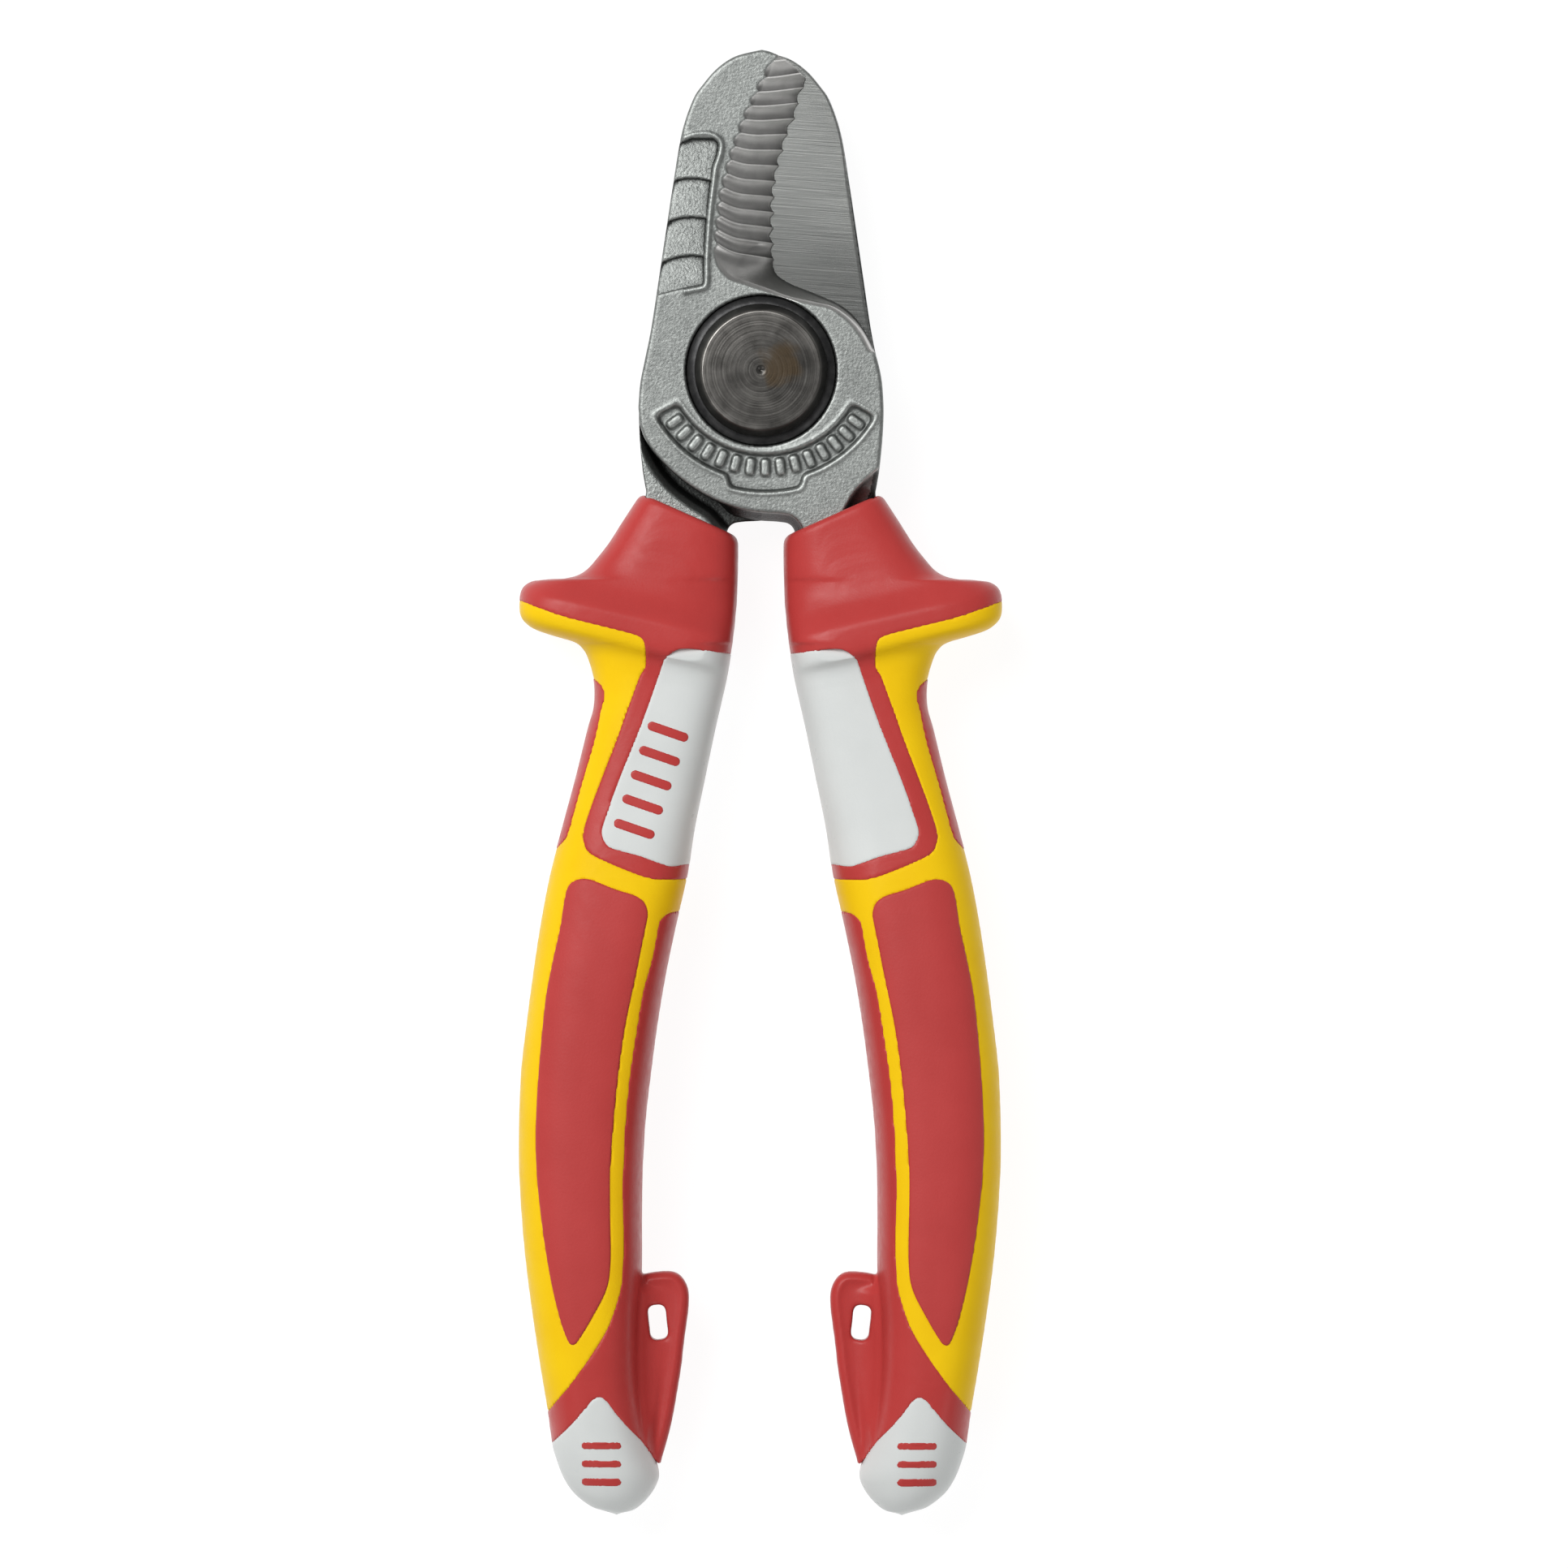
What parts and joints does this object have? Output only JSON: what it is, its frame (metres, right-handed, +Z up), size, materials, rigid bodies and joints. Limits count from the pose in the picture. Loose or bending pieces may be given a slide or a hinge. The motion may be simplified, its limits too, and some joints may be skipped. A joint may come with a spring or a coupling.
{
  "type": "cable cutter",
  "caption": "One-hand insulated cable shears: two forged levers crossing on a bolt, with fluted jaw and three-colour moulded grips.",
  "frame": {"origin": "middle of the tool's length and width, on the surface that it lies on", "axes": "+Z up along the bolt, from the lock nut to the bolt's head; +Y towards the tips of the jaws; +X to the side of the front lever's grip"},
  "size_m": [0.0528, 0.16, 0.019],
  "materials": {
    "forged_steel": "bead-blasted forging with ground jaw faces",
    "bolt_steel": "turned and oiled",
    "black_steel": "black oxide",
    "yellow_plastic": "satin moulded",
    "white_plastic": "satin moulded",
    "red_plastic": "satin soft moulded"
  },
  "bodies": {
    "front_half": {"front_lever": "forged_steel", "pivot_bolt": "bolt_steel", "dished_washer": "black_steel", "nut_washer": "bolt_steel", "lock_nut": "bolt_steel", "right_grip_core": "yellow_plastic", "right_guard_sleeve": "red_plastic", "right_label_panel": "white_plastic", "right_front_pad": "red_plastic", "right_rear_pad": "red_plastic", "right_thumb_strip": "red_plastic", "right_tail": "red_plastic", "right_end_cap": "white_plastic", "right_cap_bars": "red_plastic"},
    "rear_half": {"rear_lever": "forged_steel", "left_grip_core": "yellow_plastic", "left_guard_sleeve": "red_plastic", "left_label_panel": "white_plastic", "left_front_pad": "red_plastic", "left_rear_pad": "red_plastic", "left_thumb_strip": "red_plastic", "left_tail": "red_plastic", "left_end_cap": "white_plastic", "left_label_bars": "red_plastic", "left_cap_bars": "red_plastic"}
  },
  "joints": [
    {"name": "pivot_hinge", "type": "hinge", "parent": "front_half", "child": "rear_half", "pos_m": [0, 0.045, 0.0095], "axis": [0, 0, -1], "range_deg": [0, 45]}
  ]
}
